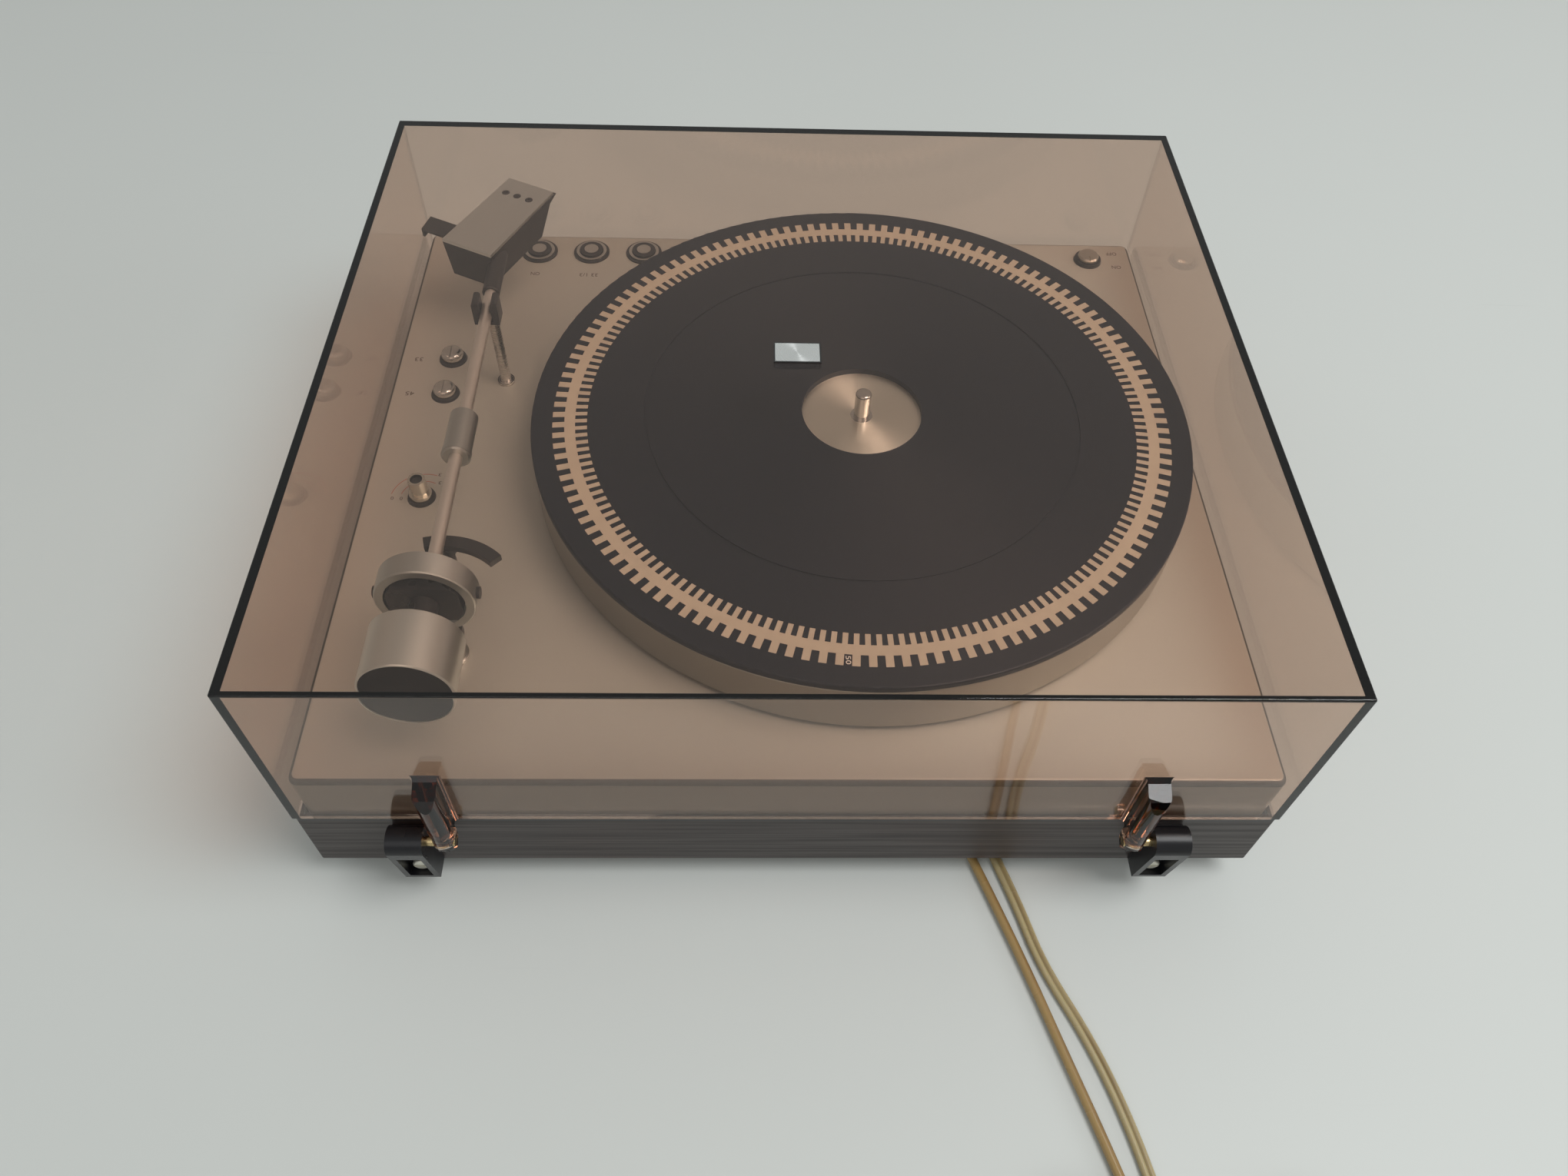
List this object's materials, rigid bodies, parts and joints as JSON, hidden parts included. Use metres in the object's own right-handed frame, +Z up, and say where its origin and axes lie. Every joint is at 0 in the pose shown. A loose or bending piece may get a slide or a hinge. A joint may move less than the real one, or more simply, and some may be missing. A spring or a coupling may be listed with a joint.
{
  "type": "belt drive turntable",
  "caption": "Record player with a belt driven platter, straight tonearm, push buttons, hinged tinted dust cover and trailing leads.",
  "frame": {"origin": "on the floor under the middle of the turntable's box, without its cords", "axes": "+X to the right seen from the front, +Y to the rear where the hinges and cords are, +Z up"},
  "size_m": [0.4473, 0.5645, 0.1434],
  "materials": {
    "plinth_veneer": "satin dark veneer with fine level grain",
    "fibreboard": "raw hardboard",
    "black_plastic": "matt moulded black",
    "rubber": "matt black",
    "deck_aluminium": "brushed, champagne anodised",
    "cast_aluminium": "spun",
    "bright_steel": "turned and polished",
    "chrome": "polished",
    "arm_satin": "satin silver",
    "weight_metal": "satin turned metal",
    "black_metal": "satin black",
    "zinc_plate": "plated sheet",
    "brass": "turned",
    "clear_acrylic": "bronze tinted, clear",
    "knob_metal": "turned",
    "board_green": "lacquered circuit board",
    "winding_tape": "taped winding and laminated core",
    "amber_lead": "translucent amber insulation",
    "plug_plastic": "moulded black"
  },
  "bodies": {
    "root": {"plinth_frame": "plinth_veneer", "plinth_trim": "black_plastic", "base_board": "fibreboard", "rubber_feet": "rubber", "deck_pan": "deck_aluminium", "chassis_plate": "zinc_plate", "chassis_grommets": "rubber", "bearing_housing": "zinc_plate", "drive_belt": "rubber", "motor_body": "zinc_plate", "motor_bracket": "zinc_plate", "transformer": "winding_tape", "circuit_board": "board_green", "switch_bank": "black_plastic", "button_rings": "chrome", "knob_rings": "black_plastic", "arm_pillar": "arm_satin", "rest_post": "bright_steel", "rest_clip": "black_plastic", "lift_bush": "black_metal", "hinge_blocks": "black_plastic", "hinge_pins": "brass", "hinge_screws": "bright_steel", "cord_glands": "rubber", "signal_cord": "amber_lead", "signal_coil": "amber_lead", "signal_plug": "plug_plastic", "mains_cord": "amber_lead", "mains_coil": "amber_lead", "mains_plug": "plug_plastic"},
    "platter": {"spindle": "bright_steel", "sub_platter": "cast_aluminium", "outer_platter": "cast_aluminium", "platter_mat": "rubber"},
    "pulley": {"motor_pulley": "brass"},
    "arm_carrier": {"yaw_shaft": "bright_steel", "gimbal_ring": "arm_satin", "pivot_screws": "black_metal"},
    "arm": {"bearing_block": "black_metal", "arm_tube": "arm_satin", "counterweight_stub": "black_metal", "headshell_body": "black_plastic", "headshell_plate": "arm_satin", "cartridge_body": "black_plastic", "stylus": "bright_steel", "finger_lift": "black_metal"},
    "balance": {"counterweight": "weight_metal", "counterweight_cap": "black_plastic"},
    "collar": {"collar_weight": "weight_metal"},
    "cueing": {"lift_arc": "black_metal"},
    "start_key": {"start_button": "black_plastic"},
    "speed_33_key": {"speed_button_33": "black_plastic"},
    "speed_45_key": {"speed_button_45": "black_plastic"},
    "power_dial": {"power_knob": "knob_metal"},
    "pitch_33_dial": {"pitch_knob_33": "chrome"},
    "pitch_45_dial": {"pitch_knob_45": "chrome"},
    "anti_skate_dial": {"anti_skate_knob": "knob_metal"},
    "lid": {"lid_cover": "clear_acrylic", "lid_badge": "arm_satin"}
  },
  "joints": [
    {"name": "platter_spin", "type": "hinge", "parent": "root", "child": "platter", "pos_m": [-0.0325, -0.01137, 0.09], "axis": [0, 0, -1], "continuous": true},
    {"name": "pulley_spin", "type": "hinge", "parent": "root", "child": "pulley", "pos_m": [-0.1175, -0.08138, 0.09], "axis": [0, 0, -1], "continuous": true},
    {"name": "arm_yaw", "type": "hinge", "parent": "root", "child": "arm_carrier", "pos_m": [0.1383, 0.10362, 0.1], "axis": [0, 0, -1], "range_deg": [0, 44], "deforming": ["rest_clip"]},
    {"name": "arm_pitch", "type": "hinge", "parent": "arm_carrier", "child": "arm", "pos_m": [0.1383, 0.10362, 0.1195], "axis": [-1, 0, 0], "range_deg": [0, 2.5]},
    {"name": "collar_slide", "type": "slide", "parent": "arm", "child": "collar", "axis": [0, 1, 0], "range_m": [-0.05, 0.03]},
    {"name": "balance_slide", "type": "slide", "parent": "arm", "child": "balance", "axis": [0, 1, 0], "range_m": [-0.009, 0.003]},
    {"name": "cue_lift", "type": "slide", "parent": "root", "child": "cueing", "axis": [0, 0, 1], "range_m": [0, 0.0034]},
    {"name": "start_press", "type": "slide", "parent": "root", "child": "start_key", "axis": [0, 0, -1], "range_m": [0, 0.0012], "stiffness_N_per_m": 250, "springref_m": -0.0008},
    {"name": "speed_33_press", "type": "slide", "parent": "root", "child": "speed_33_key", "axis": [0, 0, -1], "range_m": [0, 0.0012], "stiffness_N_per_m": 250, "springref_m": -0.0008},
    {"name": "speed_45_press", "type": "slide", "parent": "root", "child": "speed_45_key", "axis": [0, 0, -1], "range_m": [0, 0.0012], "stiffness_N_per_m": 250, "springref_m": -0.0008},
    {"name": "power_turn", "type": "hinge", "parent": "root", "child": "power_dial", "pos_m": [-0.1658, -0.15668, 0.0778], "axis": [0, 0, -1], "range_deg": [0, 45]},
    {"name": "pitch_33_turn", "type": "hinge", "parent": "root", "child": "pitch_33_dial", "pos_m": [0.1639, -0.07128, 0.0778], "axis": [0, 0, -1], "range_deg": [-135, 135]},
    {"name": "pitch_45_turn", "type": "hinge", "parent": "root", "child": "pitch_45_dial", "pos_m": [0.1638, -0.04657, 0.0778], "axis": [0, 0, -1], "range_deg": [-135, 135]},
    {"name": "anti_skate_turn", "type": "hinge", "parent": "root", "child": "anti_skate_dial", "pos_m": [0.1637, 0.01963, 0.0778], "axis": [0, 0, -1], "range_deg": [0, 270]},
    {"name": "lid_hinge", "type": "hinge", "parent": "root", "child": "lid", "pos_m": [0, 0.16983, 0.047], "axis": [-1, 0, 0], "range_deg": [0, 65]}
  ],
  "couplings": [
    {"joint": "pulley_spin", "follows": "platter_spin", "ratio": 10}
  ]
}
